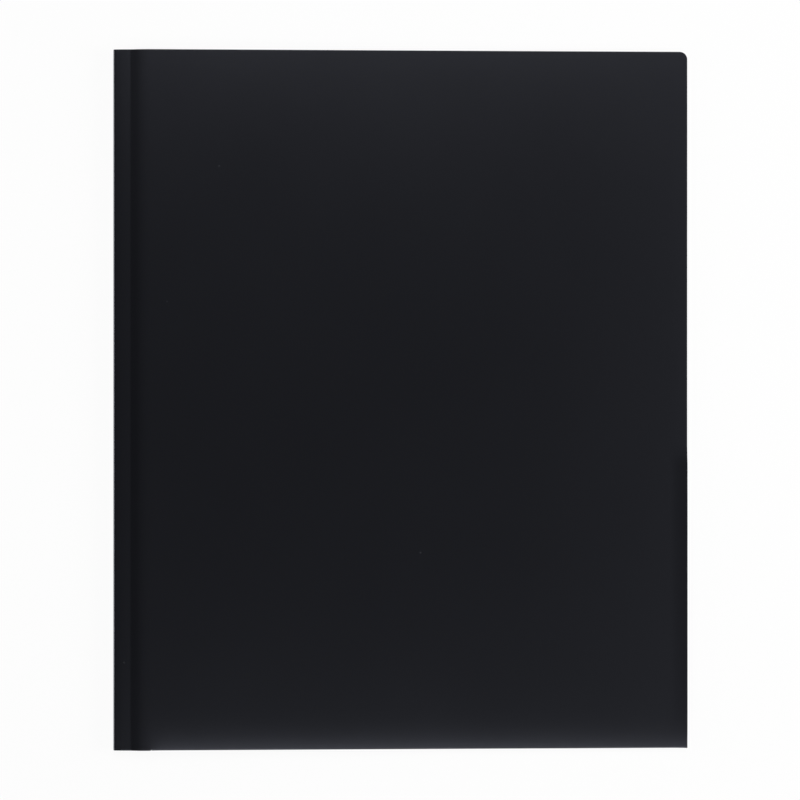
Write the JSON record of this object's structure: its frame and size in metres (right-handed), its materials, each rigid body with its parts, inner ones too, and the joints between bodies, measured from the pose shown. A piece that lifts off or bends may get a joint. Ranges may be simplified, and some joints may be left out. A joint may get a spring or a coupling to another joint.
{
  "type": "prong fastener folder",
  "caption": "Letter-size poly pocket folder with creased hinge strips along its spine and bendable metal prong fasteners inside for holding punched sheets.",
  "frame": {"origin": "middle of the footprint, on the surface that the back cover lies on", "axes": "+X from the spine to the free edge, +Y up the page to the top edge, +Z out of the front cover"},
  "size_m": [0.24, 0.292, 0.005],
  "materials": {
    "cover_poly": "satin black polypropylene sheet with a fine matt grain",
    "pocket_poly": "satin black polypropylene sheet, inner side",
    "strip_poly": "satin black polypropylene strip",
    "prong_steel": "tin-plated steel strip, lightly brushed along its length"
  },
  "bodies": {
    "back": {"back_cover": "cover_poly", "back_pocket_fold": "cover_poly", "back_pocket": "pocket_poly", "fastener_strip": "strip_poly", "fastener_base_top": "prong_steel", "fastener_base_middle": "prong_steel", "fastener_base_bottom": "prong_steel"},
    "spine": {"spine_panel": "cover_poly"},
    "front_strip": {"front_hinge_strip": "cover_poly"},
    "front": {"front_cover": "cover_poly", "front_pocket_fold": "cover_poly", "front_pocket": "pocket_poly"},
    "top_upper_prong": {"prong_top_upper": "prong_steel"},
    "top_lower_prong": {"prong_top_lower": "prong_steel"},
    "middle_upper_prong": {"prong_middle_upper": "prong_steel"},
    "middle_lower_prong": {"prong_middle_lower": "prong_steel"},
    "bottom_upper_prong": {"prong_bottom_upper": "prong_steel"},
    "bottom_lower_prong": {"prong_bottom_lower": "prong_steel"}
  },
  "joints": [
    {"name": "back_fold", "type": "hinge", "parent": "back", "child": "spine", "pos_m": [-0.12, 0, 0.00045], "axis": [0, -1, 0], "range_deg": [0, 90]},
    {"name": "front_fold", "type": "hinge", "parent": "spine", "child": "front_strip", "pos_m": [-0.12, 0, 0.0046], "axis": [0, -1, 0], "range_deg": [0, 90]},
    {"name": "front_crease", "type": "hinge", "parent": "front_strip", "child": "front", "pos_m": [-0.1128, 0, 0.0046], "axis": [0, 1, 0], "range_deg": [-150, 0]},
    {"name": "top_upper_bend", "type": "hinge", "parent": "back", "child": "top_upper_prong", "pos_m": [-0.096, 0.10883, 0.00285], "axis": [1, 0, 0], "range_deg": [0, 90]},
    {"name": "top_lower_bend", "type": "hinge", "parent": "back", "child": "top_lower_prong", "pos_m": [-0.096, 0.10718, 0.00285], "axis": [-1, 0, 0], "range_deg": [0, 90]},
    {"name": "middle_upper_bend", "type": "hinge", "parent": "back", "child": "middle_upper_prong", "pos_m": [-0.096, 0.00082, 0.00285], "axis": [1, 0, 0], "range_deg": [0, 90]},
    {"name": "middle_lower_bend", "type": "hinge", "parent": "back", "child": "middle_lower_prong", "pos_m": [-0.096, -0.00082, 0.00285], "axis": [-1, 0, 0], "range_deg": [0, 90]},
    {"name": "bottom_upper_bend", "type": "hinge", "parent": "back", "child": "bottom_upper_prong", "pos_m": [-0.096, -0.10718, 0.00285], "axis": [1, 0, 0], "range_deg": [0, 90]},
    {"name": "bottom_lower_bend", "type": "hinge", "parent": "back", "child": "bottom_lower_prong", "pos_m": [-0.096, -0.10883, 0.00285], "axis": [-1, 0, 0], "range_deg": [0, 90]}
  ],
  "couplings": [
    {"joint": "top_upper_bend", "follows": "back_fold", "ratio": 1},
    {"joint": "top_lower_bend", "follows": "back_fold", "ratio": 1},
    {"joint": "middle_upper_bend", "follows": "back_fold", "ratio": 1},
    {"joint": "middle_lower_bend", "follows": "back_fold", "ratio": 1},
    {"joint": "bottom_upper_bend", "follows": "back_fold", "ratio": 1},
    {"joint": "bottom_lower_bend", "follows": "back_fold", "ratio": 1}
  ]
}
